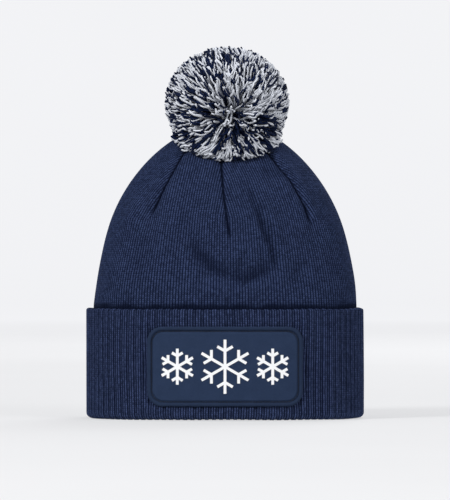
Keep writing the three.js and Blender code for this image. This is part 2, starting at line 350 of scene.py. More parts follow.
class Paint:
    """A principled material under construction, with short calls for the nodes it needs."""

    def __init__(self, name):
        self.material = bpy.data.materials.new(name)
        self.material.use_nodes = True
        self.tree = self.material.node_tree
        self.shader = self.tree.nodes["Principled BSDF"]

    def feed(self, pin, value):
        """Links or sets an input: a node's, or the shader's by its name."""
        if isinstance(pin, str):
            pin = self.shader.inputs[pin]
        if isinstance(value, bpy.types.NodeSocket):
            self.tree.links.new(value, pin)
        else:
            pin.default_value = (*value, 1) if pin.type == "RGBA" else value

    def node(self, kind, values=(), **settings):
        made = self.tree.nodes.new(kind)
        for key, value in settings.items():
            setattr(made, key, value)
        for pin, value in zip(made.inputs, values):
            self.feed(pin, value)
        return made

    def math(self, operation, *values, clamp=False):
        return self.node("ShaderNodeMath", values, operation=operation, use_clamp=clamp).outputs[0]

    def times(self, first, *others):
        """The product of all the values."""
        for other in others:
            first = self.math("MULTIPLY", first, other)
        return first

    def span(self, value, low, high):
        """Stretches a 0 to 1 value to run from low to high."""
        return self.math("MULTIPLY_ADD", value, high - low, low)

    def attribute(self, name):
        """The X, Y and Z of a vector stored on the mesh."""
        source = self.node("ShaderNodeAttribute", attribute_name=name)
        return self.node("ShaderNodeSeparateXYZ", [source.outputs["Vector"]]).outputs

    def place(self):
        return self.node("ShaderNodeTexCoord").outputs["Object"]

    def noise(self, scale, detail=3.0):
        made = self.node("ShaderNodeTexNoise", [self.place()])
        self.feed(made.inputs["Scale"], scale)
        self.feed(made.inputs["Detail"], detail)
        return made.outputs[0]

    def cell(self, x, y):
        """A random value for each whole step of x and y."""
        step = [self.math("FLOOR", x), self.math("FLOOR", y), 0.5]
        corner = self.node("ShaderNodeCombineXYZ", step).outputs[0]
        return self.node("ShaderNodeTexWhiteNoise", [corner]).outputs["Value"]

    def mix_colours(self, factor, first, second):
        made = self.node("ShaderNodeMix", data_type="RGBA")
        for pin, value in ((0, factor), (6, first), (7, second)):
            self.feed(made.inputs[pin], value)
        return made.outputs[2]

    def finish(self, colour, roughness=0.9, specular=0.3, height=None, depth=0.0, sheen=0.0,
               sheen_tint=(1, 1, 1)):
        """Wires the shader up: colour, roughness, bump from a height of depth metres, sheen."""
        self.feed("Base Color", colour)
        self.feed("Roughness", roughness)
        self.feed("Specular IOR Level", specular)
        self.feed("Sheen Weight", sheen)
        self.feed("Sheen Roughness", 0.45)
        self.feed("Sheen Tint", sheen_tint)
        if height is not None:
            bump = self.node("ShaderNodeBump")
            self.feed(bump.inputs["Strength"], 1)
            self.feed(bump.inputs["Distance"], depth)
            self.feed(bump.inputs["Height"], height)
            self.feed("Normal", bump.outputs[0])
        return self.material


NAVY_SHEEN = (0.3, 0.45, 1.0)
STITCH_SLANT = 1.5                # courses that a leg of the V climbs for each wale it crosses
THREAD_PITCH = 0.55 * MM          # of the patch's woven cloth


def knit_paint(name, dark, light, depth=0.5 * MM):
    """Rows of V stitches: each wale has two legs that slant up and out from its middle."""
    paint = Paint(name)
    wale, course, shade = paint.attribute("knit")
    reach = paint.math("ABSOLUTE", paint.math("SUBTRACT", paint.math("FRACT", wale), 0.5))
    from_leg = paint.times(paint.math("SUBTRACT", reach, 0.25), 4.0)
    leg = paint.math("SUBTRACT", 1.0, paint.times(from_leg, from_leg), clamp=True)
    phase = paint.math("FRACT", paint.math("SUBTRACT", course, paint.times(reach, STITCH_SLANT)))
    ridge = paint.math("SINE", paint.times(phase, math.pi))
    stitch = paint.times(paint.span(leg, 0.7, 1.0), paint.span(ridge, 0.4, 1.0))
    fibre = paint.noise(scale=2600, detail=2)
    height = paint.math("ADD", stitch, paint.times(fibre, 0.35))

    # Painted shade: the tone follows each stitch's height, so it is darker between the legs and the
    # courses, and darker still towards the valley between wales.
    valley = paint.math("POWER", paint.times(reach, 2.0), 1.1)
    valley_shade_factor = paint.math("SUBTRACT", 1.0, paint.times(valley, 0.97))
    mottle = paint.noise(scale=90, detail=3)
    grain = paint.noise(scale=1000, detail=1)
    tone = paint.times(
        stitch, paint.span(paint.cell(wale, course), 0.8, 1.4),
        paint.span(grain, 0.35, 1.85), paint.span(mottle, 0.85, 1.15),
    )
    tone = paint.times(paint.math("ADD", tone, paint.span(fibre, -0.2, 0.2)), valley_shade_factor)
    tone = paint.math("POWER", paint.math("MAXIMUM", tone, 0.0), 1.2)
    # Painted shade from the mesh's shade attribute darkens creases and hollows; where that attribute
    # is below 0 it is painted light.
    tone = paint.math("MULTIPLY", tone, paint.math("SUBTRACT", 1.0, shade), clamp=True)
    return paint.finish(
        paint.mix_colours(tone, dark, light), roughness=0.92, specular=0.03,
        height=height, depth=depth, sheen=0.03, sheen_tint=NAVY_SHEEN,
    )


def cloth_paint(name, dark, light):
    """Close-woven cloth: a fine grid of threads, a little uneven."""
    paint = Paint(name)
    x, _, z = paint.node("ShaderNodeSeparateXYZ", [paint.place()]).outputs
    turns = TURN / THREAD_PITCH
    warp = paint.math("SINE", paint.times(x, turns))
    weft = paint.math("SINE", paint.times(z, turns))
    grid = paint.span(paint.times(warp, weft), 0.5, 1.0)
    cloud = paint.noise(scale=120, detail=4)
    fibre = paint.noise(scale=1000, detail=3)
    tone = paint.math("ADD", paint.times(cloud, 0.5), paint.times(fibre, 0.5))
    tone = paint.math("MULTIPLY", tone, paint.span(grid, 0.8, 1.0), clamp=True)
    return paint.finish(
        paint.mix_colours(tone, dark, light), roughness=0.8, specular=0.12,
        height=grid, depth=0.12 * MM, sheen=0.05, sheen_tint=NAVY_SHEEN,
    )


def thread_paint(name, dark, light, roughness=0.6):
    """Smooth thread or tape with fine fibres."""
    paint = Paint(name)
    fibre = paint.noise(scale=2500, detail=3)
    return paint.finish(
        paint.mix_colours(fibre, dark, light), roughness=roughness, specular=0.35,
        height=fibre, depth=0.08 * MM,
    )


def print_paint():
    """The flakes' white ink, a little grainy."""
    paint = Paint("white_print")
    grain = paint.noise(scale=1500, detail=2)
    return paint.finish(
        paint.mix_colours(grain, (0.80, 0.81, 0.83), (0.93, 0.93, 0.94)),
        roughness=0.55, specular=0.4, height=grain, depth=0.05 * MM,
    )


def yarn_paint(name, dark, light):
    """Pompom yarn: each strand has its own tone, and painted shade darkens it towards the tie."""
    paint = Paint(name)
    tone, along, _ = paint.attribute("strand")
    fibre = paint.noise(scale=1800, detail=2)
    shade = paint.math("ADD", paint.times(tone, 0.55), paint.times(fibre, 0.6))
    # Painted shade: darker towards the tie.
    shade = paint.math("MULTIPLY", shade, paint.span(along, 0.55, 1.0), clamp=True)
    return paint.finish(
        paint.mix_colours(shade, dark, light), roughness=0.85, specular=0.06,
        height=fibre, depth=0.25 * MM, sheen=0.03,
    )


# ---- crown ----

JERSEY = 2.2 * MM                 # thickness of the outer knit
DEEPEST_CREASE = 3.3 * MM
HIDDEN_ROWS = 6                   # rows of points behind the cuff
CROWN_ROWS = 80                   # and above it
INNER_ROWS = 7                    # the inside has one row of points for this many outside
WALES = 248                       # columns of stitches round the crown
COLUMNS_PER_WALE = 4
COURSE = 1.62 * MM                # height of one stitch
GATHER_LINE = 0.158               # above this the darts take up the cloth and wales end at them
DOME_POWER = 0.95                 # 1 is an ellipse seen from the front, less is more pointed
SLACK = 1.3 * MM                  # the sides fall in by this a little above the cuff,
SLACK_HEIGHT, SLACK_REACH = 0.128, 0.028                # at this height and over this reach
PINCH = 0.28                      # the tip loses this share of its depth to the tie,
PINCH_START, PINCH_END = 0.180, 0.226                   # which grows between these heights

# Each dart has the name of its CAD seam, -1 if it is in front or 1 behind, and its line of
# (x, z) in mm from the tip down.
DARTS = (
    ("front_left", -1, ((-35, 206), (-47, 184), (-59.5, 158))),
    ("front", -1, ((-3.5, 206), (-1, 176), (4, 139.5))),
    ("front_right", -1, ((35, 208), (51, 189), (63, 167.5), (69, 151.5))),
    ("back_right", 1, ((36, 206), (50, 182), (60, 156))),
    ("back", 1, ((0, 206), (0, 144))),
    ("back_left", 1, ((-36, 206), (-52, 184), (-64, 160))),
)
BACK_DART = 4

# Soft folds: each a line of (x, z) in mm, its width in mm, and its height in mm before
# FOLD_STRENGTH, where a hollow has a height below 0.
FOLD_STRENGTH = 1.8
FRONT_FOLDS = (
    (((17, 186), (25, 166), (31, 148), (37, 134), (40, 116)), 2.6, -2.7),
    (((27, 176), (38, 154), (45, 132)), 5, 1.9),
    (((11, 174), (20, 154), (29, 136)), 6, 1.5),
    (((-28, 142), (-20, 129), (-8, 119), (5, 114)), 6, -2.6),
    (((4, 114), (16, 110), (28, 115), (36, 124)), 6, -2.7),
    (((5, 132), (15, 127)), 9, 2.4),
    (((-22, 103), (4, 98), (32, 100)), 7, 1.2),
    (((-67, 176), (-78, 146)), 6, 1.6),
    (((-40, 178), (-46, 140)), 9, 1.2),
    (((60, 123), (53, 104)), 6, -1.4),
    (((24, 104), (34, 108)), 6, 0.8),
    (((26, 197), (50, 192)), 7, -1.2),
    (((-62, 142), (-70, 112)), 9, -1.0),
)
BACK_FOLDS = (
    (((-18, 168), (-25, 148), (-38, 126)), 4, -2.8),
    (((-10, 164), (-17, 148), (-28, 130)), 6, 1.4),
    (((30, 140), (10, 122), (-16, 117), (-30, 124)), 7, -2.2),
    (((52, 150), (60, 124)), 5, -1.8),
    (((4, 136), (12, 132)), 8, 1.8),
)


def crown_rings(swing, inset=0.0):
    """Half widths, half depths and heights of the dome, from 0 at the cuff to a quarter turn."""
    share = np.sin(swing) ** (1 / DOME_POWER)
    z = BAND_TOP + share * (CROWN_TIP - inset - BAND_TOP)
    slack = SLACK * bell(z - SLACK_HEIGHT, SLACK_REACH)
    pinch = 1 - PINCH * ramp(z, PINCH_START, PINCH_END)
    wide = (CROWN_HALF_WIDTH - inset) * np.cos(swing) - slack
    deep = (CROWN_HALF_DEPTH - inset) * (1 - share ** 1.7) ** 0.6 * pinch
    return wide, deep, z


def dart_shares(side, path, points, shares):
    """Where a dart lies round the hat on each row of points."""
    path = np.array(path)[::-1] * MM
    top = path[-1, 1]
    front = (shares >= 0.25) & (shares <= 0.75)
    found = np.zeros(len(points))
    for row, ring in enumerate(points):
        z = ring[0, 2]
        x = np.interp(z, path[:, 1], path[:, 0])
        if z > top:
            x *= max(0, 1 - (z - top) / (CROWN_TIP - top)) ** 0.5
        found[row] = np.interp(x, ring[front, 0], shares[front])
    if side < 0:
        return found
    return (0.51 - found) % 1 - 0.01      # the mirrored share, kept from -0.01 to 0.99


def wale_grid(shares, z, perimeters, darts):
    """Which wale each point lies on: straight up below the gather line, cut by darts above."""
    order = sorted(darts, key=lambda seam: seam[0])
    gather_row = np.argmin(np.abs(z - GATHER_LINE))
    pitch = np.where(z < GATHER_LINE, perimeters, perimeters[gather_row]) / WALES
    stretch = (perimeters / pitch)[:, None]
    wale = np.zeros((len(z), len(shares)))
    for first, second in zip(order, order[1:] + [order[0] + 1]):
        start, end = first[:, None], second[:, None]
        middle = (start + end) / 2
        settled = WALES * middle[gather_row]
        for lap in (0, 1):
            here = shares + lap
            count = settled + (here - middle) * stretch
            wale = np.where((here >= start) & (here < end), count, wale)
    return np.where(z[:, None] < GATHER_LINE, WALES * shares, wale)


def dart_relief(shares, z, perimeters, darts):
    """The hollow in mm and the painted shade of the sewn darts, and the swell on both sides of them.

    Each is a tight crease that opens at its low end and runs out in a dimple below it.
    """
    relief = np.zeros((len(z), len(shares)))
    shade = np.zeros_like(relief)
    for (_, _, path), seam in zip(DARTS, darts):
        d = ((shares - seam[:, None] + 0.5) % 1 - 0.5) * perimeters[:, None] / MM
        above_foot = z[:, None] / MM - path[-1][1]
        sewn = ramp(above_foot, -2, 9)
        opening = bell(above_foot - 9, 10)
        dimple = bell(above_foot + 4, 10)
        relief -= sewn * (2.4 + 1.6 * opening) * bell(np.abs(d), 0.9 + 0.8 * opening, 1.5)
        relief -= 1.6 * sewn * bell(d, 6) + 1.6 * dimple * bell(d, 8)
        relief += sewn * (1.3 * bell(d - 6, 4) + 0.9 * bell(d + 6, 4))
        # Painted shade: a dark line along each crease, wider where it opens at its foot.
        shade = np.maximum(shade, sewn * bell(np.abs(d), 0.95 + 0.4 * opening, 3))
    return relief, shade


def fold_relief(points):
    """The soft folds' height in mm, each faded out at both its ends."""
    x, z = points[..., 0] / MM, points[..., 2] / MM
    facing = (points[..., 1] - MIDDLE_Y) / CROWN_HALF_DEPTH
    relief = np.zeros(x.shape)
    for folds, side in ((FRONT_FOLDS, -1), (BACK_FOLDS, 1)):
        turned = ramp(side * facing, 0.02, 0.25)
        for path, width, height in folds:
            d, along = distance_to_path(x, z, path)
            faded = ramp(along, -0.2, 0.35) * ramp(1 - along, -0.2, 0.35)
            relief += turned * faded * height * bell(d, width)
    return FOLD_STRENGTH * relief


def crown_relief(points, shares, perimeters, darts):
    """How far the knit stands out from the plain dome, and how much painted shade darkens its
    creases, its fold hollows and the gap behind the cuff.
    """
    z = points[:, :1, 2]
    relief, shade = dart_relief(shares, points[:, 0, 2], perimeters, darts)
    folds = fold_relief(points)
    # Painted shade in the folds' hollows.
    shade = np.maximum(shade, 0.6 * np.clip(-folds / 4.2, 0, 1) ** 1.5)
    relief = MM * (relief + folds + 0.6 * ripple(shares, z, seed=3, turns=7, rise=14))
    relief *= ramp(z, BAND_TOP - 4 * MM, BAND_TOP + 22 * MM)
    relief = np.where(relief < 0, DEEPEST_CREASE * np.tanh(relief / DEEPEST_CREASE), relief)
    # Painted shade: the crown is darkened just above the cuff's top edge, in the gap behind it, along
    # a slightly uneven line.
    uneven = 0.8 * MM * ripple(shares, 0, seed=4, turns=26)
    painted_shade_behind_cuff = 0.92 * (1 - ramp(z + uneven, BAND_TOP + 1 * MM, BAND_TOP + 5 * MM))
    return relief, np.maximum(shade, painted_shade_behind_cuff)


def wale_relief(wale, depth):
    """Rounded columns with a sharp valley between neighbours."""
    return -depth * (1 - np.abs(np.sin(math.pi * wale))) ** 1.6


def make_crown():
    """The outer knit, gathered by its darts: the outside with its wales, then the inside."""
    shares = even_shares(WALES * COLUMNS_PER_WALE)
    wide, deep, z = crown_rings(np.linspace(0, math.radians(87.4), CROWN_ROWS))
    wide = np.pad(wide, (HIDDEN_ROWS, 0), mode="edge")
    deep = np.pad(deep, (HIDDEN_ROWS, 0), mode="edge")
    z = np.append(np.linspace(CROWN_EDGE, BAND_TOP, HIDDEN_ROWS + 1)[:-1], z)
    dome, perimeters = band_points(wide, deep, z, shares)
    course = run_length(np.stack([wide, z], axis=1)) / COURSE
    darts = [dart_shares(side, path, dome, shares) for _, side, path in DARTS]
    wale = wale_grid(shares, z, perimeters, darts)
    relief, shade = crown_relief(dome, shares, perimeters, darts)
    outside = pushed_out(dome, relief + wale_relief(wale, 0.45 * MM))
    inside = pushed_out(dome, relief - JERSEY)
    inside = np.concatenate([inside[::-INNER_ROWS], inside[:1]])

    crown = grid_object("crown_knit", np.concatenate([outside, inside]))
    inner_wale = np.broadcast_to(wale[0], inside.shape[:2])
    inner_course = np.linspace(course[-1], 0, len(inside))
    knit_attribute(
        crown,
        np.concatenate([wale, inner_wale]),
        np.append(course, inner_course)[:, None],
        np.concatenate([shade, np.zeros(inside.shape[:2])]),
    )
    paint = knit_paint("navy_jersey", dark=(0.002, 0.004, 0.014), light=(0.043, 0.064, 0.149))
    stand_for(crown, paint, "outer_crown")


# ---- cuff ----

LEAF = 4.0 * MM                   # thickness of each of the two leaves of the folded rib
FOLD_GAP = 1.5 * MM
INNER_LEAF_TOP = 60 * MM
RIBS = 102                        # each rib is two raised wales and one sunken one
COLUMNS_PER_RIB = 12


def arc(centre, radius, start, end, count):
    """Points on an arc, as insets from the cuff's outer face and heights; angles in degrees."""
    turn = np.radians(np.linspace(start, end, count))
    return [(centre[0] - radius * math.cos(t), centre[1] + radius * math.sin(t)) for t in turn]


def line(start, end, count):
    """Points from start to just before end."""
    return [tuple(p) for p in np.linspace(start, end, count, endpoint=False)]


def cuff_profile():
    """The folded band's outline, up the outside and down the inside, with each point's relief."""
    second = LEAF + FOLD_GAP
    wall = second + LEAF
    fold, edge = wall / 2, LEAF / 2
    visible = [
        *arc((fold, fold), fold, -90, -15, 7),
        *line((0, fold), (0, BAND_TOP - edge - 1 * MM), 28),
        *arc((edge, BAND_TOP - edge), edge, 0, 180, 9),
    ]
    hidden = [
        *line((LEAF, BAND_TOP - 6 * MM), (LEAF, 10 * MM), 3),
        (fold, 8 * MM),
        *line((second, 10 * MM), (second, INNER_LEAF_TOP - 1 * MM), 3),
    ]
    inner = [
        (second + 1 * MM, INNER_LEAF_TOP),
        (wall - 1 * MM, INNER_LEAF_TOP),
        *line((wall, INNER_LEAF_TOP - 1 * MM), (wall, fold), 14),
        *arc((fold, fold), fold, 195, 262, 6),
    ]
    relief = [1.0] * len(visible) + [0.0] * len(hidden) + [0.8] * len(inner)
    return np.array(visible + hidden + inner), np.array(relief)[:, None]


def rib_relief(phase):
    """Two knit wales stand proud of one sunken wale, with a crease between each pair; the second
    value is the painted shade that darkens the sunken wale and the creases.
    """
    crease = (1 - np.abs(np.sin(math.pi * (3 * phase + 0.5)))) ** 1.5
    sunken = (0.5 + 0.5 * np.cos(TURN * phase)) ** 1.5
    return -(0.55 * sunken + 0.6 * crease) * MM, np.clip(0.38 * sunken + 0.56 * crease, 0, 1)


def patch_press(points):
    """The sewn patch presses the rib in under it, and the rib swells round its edge."""
    x, y, z = np.abs(points[..., 0]), points[..., 1], np.abs(points[..., 2] - PATCH_CENTRE)
    beyond = np.maximum(x - PATCH_HALF_WIDTH, z - PATCH_HALF_HEIGHT)
    swell = bell(beyond - 3.2 * MM, 3 * MM)
    under = ramp(-beyond, -0.5 * MM, 2 * MM)
    dip = bell(x - PATCH_HALF_WIDTH - 1.8 * MM, 1.6 * MM) * bell(z, 15 * MM)
    return np.where(y < MIDDLE_Y, (0.75 * swell - 0.7 * under - 2.0 * dip) * MM, 0)


def make_cuff():
    """The band of rib, folded up once, so that its fold is the hat's lower edge."""
    profile, share_of_relief = cuff_profile()
    shares = even_shares(RIBS * COLUMNS_PER_RIB)
    inset, z = profile.T
    points, _ = band_points(CUFF_HALF_WIDTH - inset, CUFF_HALF_DEPTH - inset, z, shares)
    z = z[:, None]
    phase = RIBS * shares + 0.10 * ripple(shares, z, seed=11, turns=9, rise=10)
    strength = 1 + 0.12 * ripple(shares, z, seed=12, turns=30, rise=6)
    relief, shade = rib_relief(phase)
    relief = relief * strength + (0.25 * ripple(shares, z, seed=13, turns=12, rise=9) - 0.3) * MM
    relief += patch_press(points) * (share_of_relief == 1.0)
    relief = np.minimum(relief * share_of_relief, 0.6 * MM)
    points = pushed_out(points, relief, close_rows=True)
    points[..., 2] = np.maximum(points[..., 2], CUFF_LOW[2])

    cuff = grid_object("cuff_rib", points)
    course = run_length(profile)[:, None] / COURSE
    painted_fold_light = 0.45 * (1 - ramp(z, 1 * MM, 7 * MM))      # painted light: the yarn round the fold's lower edge is brightened as if lit from below
    knit_attribute(cuff, 3 * phase + 0.5, course, shade * strength - painted_fold_light)
    paint = knit_paint("navy_rib", dark=(0.002, 0.004, 0.013), light=(0.056, 0.081, 0.187))
    stand_for(cuff, paint, "cuff")


# ---- pompom ----

POMPOM_RADIUS = (POMPOM_HIGH[0] - POMPOM_LOW[0]) / 2
POMPOM_HALF_HEIGHT = 44.5 * MM
POMPOM_SIZE = np.array([POMPOM_RADIUS, POMPOM_RADIUS, POMPOM_HALF_HEIGHT])
POMPOM_CENTRE = np.array([1.5 * MM, MIDDLE_Y, POMPOM_HIGH[2] - POMPOM_HALF_HEIGHT])
POMPOM_TILT = math.radians(12)    # how far the pompom nods and sways to each side
STRANDS = 3900
STRAND_RADIUS = 0.8 * MM
STRAND_POINTS = 13
STRAND_SIDES = 4
STRAND_START = 0.16               # strands begin this share along, as the rest is inside the tie
PARTING_DROP = 0.25               # how far below level the bare middle of the front looks
TIE_OFFSET = np.array([4 * MM, 0, -6 * MM])   # where the yarn is tied, from the ball's centre
TIE_SPREAD = 7 * MM
TRIM = 0.99                       # the even trim, before single strands stray past it
HANG = 0.24                       # how much longer the low strands of the front and the back are
CURLY_SHARE = 0.03                # strands that kept a loose curl
BOW = (0.5, 0.95)                 # share of its swing from the parting that a strand makes as a curve
CRIMP_TURNS = (2.2, 3.8)
CRIMP_SIZE = (0.006, 0.024)       # this and LEAN are shares of the ball's radius
LEAN = 0.035                      # how far strands lean over
SKIRT_HEIGHT = 0.226              # strands that end below this hang over the crown
CROWN_MARGIN = 1.2 * MM           # room between the crown and the strands combed over it
COMBINGS, COMB_PUSH = 14, 0.14    # how often and how far a blocked strand is turned aside
PRESS_MARGIN = 6.5 * MM           # room below which a tilted strand counts as pressed down
DEEPEST_IN_CROWN = 9 * MM         # a strand that still runs deeper than this is left out
NAVY_SHARE = 0.47                 # of the strands; the others are grey
YARNS = {
    "navy": {"dark": (0.001, 0.004, 0.015), "light": (0.006, 0.014, 0.055)},
    "grey": {"dark": (0.42, 0.44, 0.49), "light": (0.84, 0.87, 0.94)},
}


def even_directions(count, chance):
    """Directions spread evenly over a ball, then shaken a little."""
    index = np.arange(count) + 0.5
    up = 1 - 2 * index / count
    ways = round_points(np.sqrt(1 - up ** 2), math.pi * (1 + math.sqrt(5)) * index, up)
    return unit(ways + chance.normal(0, 0.02, ways.shape))


def ball_noise(ways, seed, waves=10, pitch=6.0):
    """A smooth random field over directions, about unit size."""
    chance = np.random.default_rng(seed)
    total = 0
    for _ in range(waves):
        axis = chance.normal(0, pitch, 3)
        total = total + np.sin(ways @ axis + chance.uniform(0, TURN))
    return total / math.sqrt(waves / 2)


def open_partings(ways, chance):
    """Draws directions away from the middle of the front and of the back, to leave partings."""
    axis = np.zeros_like(ways)
    towards = ways[:, 1] + chance.uniform(-0.35, 0.35, len(ways))
    axis[:, 1] = np.where(towards < 0, -1.0, 1.0)
    axis[:, 2] = -PARTING_DROP
    axis = unit(axis)
    facing = (ways * axis).sum(1, keepdims=True)
    from_axis = np.arccos(np.clip(facing[:, 0], -1, 1))
    quarter = math.pi / 2
    wanted = quarter * (from_axis / quarter) ** 0.72
    return axis, unit(ways - axis * facing), np.where(from_axis < quarter, wanted, from_axis)


def strand_paths(ways, seed):
    """Each strand leaves the tie towards the front or the back, then curves out to its end."""
    chance = np.random.default_rng(seed)
    one_each = (len(ways), 1)
    axis, across, angle = open_partings(ways, chance)
    s = np.linspace(STRAND_START, 1, STRAND_POINTS)[None, :]
    sideways = ramp(1 - np.abs(ways[:, 1:2]), 0.3, 0.85)
    bow = chance.uniform(*BOW, one_each) * (1 - 0.8 * sideways)
    swing = angle[:, None] * (1 - bow * (1 - s) ** 1.1)
    path = swung(axis[:, None, :], across[:, None, :], swing)

    curl = chance.uniform(0, 1, one_each) < CURLY_SHARE
    length = TRIM + chance.normal(0, 0.010, one_each)
    length = length - 0.10 * chance.uniform(0, 1, one_each) ** 5
    length = np.where(curl, length * chance.uniform(0.75, 1.0, one_each), length)
    length = length + HANG * ramp(-ways[:, 2:], 0.35, 0.8) * ramp(np.abs(ways[:, 1:2]), 0.1, 0.4)
    path = path * ((1 - (1 - s) ** 1.5) * length)[..., None]

    side = unit(np.cross(ways, chance.normal(0, 1, ways.shape)))
    other = np.cross(ways, side)
    phase = chance.uniform(0, TURN, (2, *one_each))
    turns = chance.uniform(*CRIMP_TURNS, one_each) * np.where(curl, 0.6, 1)
    size = chance.uniform(*CRIMP_SIZE, one_each) * np.where(curl, 3.5, 1) * (0.5 + 0.5 * s)
    for way, pace, start in ((side, 1, phase[0]), (other, 0.8, phase[1])):
        crimp = size * np.sin(TURN * turns * pace * s + start)
        path += crimp[..., None] * way[:, None, :]
    lean = np.stack([ball_noise(ways, seed + shift, pitch=9) for shift in (1, 2, 3)], axis=1)
    lean += chance.normal(0, 0.7, lean.shape)
    path += LEAN * lean[:, None, :] * (s ** 1.6)[..., None]

    reach = np.linalg.norm(path[:, -1], axis=1)[:, None]
    path *= (1 + (length / reach - 1) * s)[..., None]
    root = TIE_OFFSET + TIE_SPREAD * chance.uniform(-1, 1, ways.shape)
    return POMPOM_CENTRE + path * POMPOM_SIZE + root[:, None, :] * ((1 - s) ** 0.8)[..., None]


def crown_depth(paths, over):
    """How far in front of or behind the middle the crown's face lies at each point's x and z."""
    share = np.clip((paths[..., 2] - BAND_TOP) / (CROWN_TIP - BAND_TOP), 0, 1)
    wide, deep, _ = crown_rings(np.arcsin(share ** DOME_POWER))
    depth = section_depth(paths[..., 0], wide + over, deep + over)
    return np.where(paths[..., 2] < CROWN_TIP + over, depth, 0)


def comb_over_crown(ways, seed):
    """Turns strands that would run into the crown to the front or the back until they clear it."""
    ways = ways.copy()
    for _ in range(COMBINGS):
        paths = strand_paths(ways, seed)
        inside = np.abs(paths[..., 1] - MIDDLE_Y) < crown_depth(paths, CROWN_MARGIN)
        blocked = inside[:, STRAND_POINTS // 2:].any(axis=1)
        ways[blocked, 1] += np.where(ways[blocked, 1] < 0, -COMB_PUSH, COMB_PUSH)
        ways = unit(ways)
    paths = strand_paths(ways, seed)
    depth = crown_depth(paths, CROWN_MARGIN)
    y = paths[..., 1] - MIDDLE_Y
    short = np.abs(y) < depth
    kept = ~(short & (depth - np.abs(y) > DEEPEST_IN_CROWN)).any(axis=1)
    paths[..., 1] = MIDDLE_Y + np.where(short, np.where(y < 0, -depth, depth), y)
    return paths[kept], ways[kept]


def pressed_when_tilted(paths):
    """Which strands meet the crown somewhere in the pompom's reach, and so lie pressed on it."""
    pressed = np.zeros(len(paths), bool)
    for nod, sway in itertools.product((-POMPOM_TILT, 0, POMPOM_TILT), repeat=2):
        turn = Matrix.Rotation(nod, 3, "X") @ Matrix.Rotation(sway, 3, "Y")
        tilted = PIVOT + (paths - PIVOT) @ np.array(turn).T
        meets = np.abs(tilted[..., 1] - MIDDLE_Y) < crown_depth(tilted, PRESS_MARGIN)
        pressed |= meets.any(axis=1)
    return pressed


def square_to(along, upright):
    """Two directions square to a line's own; upright says where the line runs up or down."""
    helper = np.where(np.asarray(upright)[..., None], (1.0, 0.0, 0.0), (0.0, 0.0, 1.0))
    side = unit(np.cross(along, helper))
    return side, np.cross(along, side)


def tubes(name, paths, radii, sides, closed=False):
    """A tube round each path, capped at its ends or closed in a ring."""
    count, steps, _ = paths.shape
    along = unit(steps_past(paths, 1, closed))
    upright = (np.abs(along[..., 2]) > 0.9).mean(axis=1) > 0.5
    side, other = square_to(along, upright[:, None])
    around = np.linspace(0, TURN, sides, endpoint=False)
    ring = swung(side[:, :, None, :], other[:, :, None, :], around)
    points = paths[:, :, None, :] + ring * np.broadcast_to(radii, (count, steps))[:, :, None, None]
    first = np.arange(count)[:, None, None] * steps * sides
    return mesh_object(name, points, tube_quads(steps, sides, closed) + first)


def make_strands(name, paths, chance):
    """Strands of yarn that thin a little at the cut, each with its own thickness and tone."""
    count, steps, _ = paths.shape
    thickness = STRAND_RADIUS * chance.uniform(0.82, 1.15, (count, 1))
    taper = np.append(np.ones(steps - 1), 0.8)
    strands = tubes(name, paths, thickness * taper, STRAND_SIDES)
    tone = chance.uniform(0, 1, count)[:, None, None]
    along = np.linspace(0, 1, steps)[:, None]
    set_attribute(strands, "strand", tone, along, np.zeros((count, steps, STRAND_SIDES)))
    return strands


def make_pompom():
    """The ball, and a skirt of low strands blended between the hat and the tie."""
    chance = np.random.default_rng(5)
    paths, ways = comb_over_crown(even_directions(STRANDS, chance), seed=40)
    clump = ball_noise(ways, seed=31, waves=16, pitch=34) + chance.normal(0, 0.85, len(ways))
    grey = clump > np.quantile(clump, NAVY_SHARE)
    low = (paths[:, -1, 2] < SKIRT_HEIGHT) | pressed_when_tilted(paths)
    for colour, chosen in (("navy", ~grey), ("grey", grey)):
        paint = yarn_paint("yarn_" + colour, **YARNS[colour])
        ball = make_strands("pompom_" + colour, paths[chosen & ~low], chance)
        stand_for(ball, paint, "pompom_yarn", "pompom")
        skirt = make_strands("pompom_skirt_" + colour, paths[chosen & low], chance)
        skirt.data.materials.append(paint)
        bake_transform(skirt)


# ---- patch ----

PATCH_CORNER = 11 * MM
RIM_WIDTH = 3.0 * MM
GROOVE = 1.1 * MM
PANEL_INSET = RIM_WIDTH + GROOVE
PATCH_STITCH = 2.7 * MM           # pitch of the stitches
PATCH_STITCH_SHARE = 0.8          # of that pitch is thread, and the rest is gap
CUT_EDGE = 0.15                   # share of a cloth's thickness that stands square at its edge
FLAKES = (("left", -37, 14), ("centre", 0, 21), ("right", 37, 14))      # x and radius in mm
FLAKE_STROKE = 2.2 * MM
FLAKE_CUTS = 2.5                  # the print bends with the cuff at lines this many mm apart
PRINT_OFFSET, PRINT_THICKNESS = 1.75 * MM, 0.5 * MM     # from the cuff's front face


def on_cuff(x, z, offset):
    """A point of the patch: x and height on the patch, offset out from the cuff's front face."""
    depth = section_depth(x, CUFF_HALF_WIDTH + offset, CUFF_HALF_DEPTH + offset)
    return np.stack(np.broadcast_arrays(x, MIDDLE_Y - depth, z + PATCH_CENTRE), axis=-1)


def outline_core(inset):
    """The drawn-in outline's corner radius, and the half sizes of its corner centres' box."""
    corner = PATCH_CORNER - inset * 0.5
    return corner, PATCH_HALF_WIDTH - inset - corner, PATCH_HALF_HEIGHT - inset - corner


def depth_in_outline(x, z, inset):
    """How far inside the drawn-in outline a point lies; below 0 outside it."""
    corner, wide, high = outline_core(inset)
    dx, dz = np.abs(x) - wide, np.abs(z) - high
    outside = np.hypot(np.maximum(dx, 0), np.maximum(dz, 0)) + np.minimum(np.maximum(dx, dz), 0)
    return corner - outside


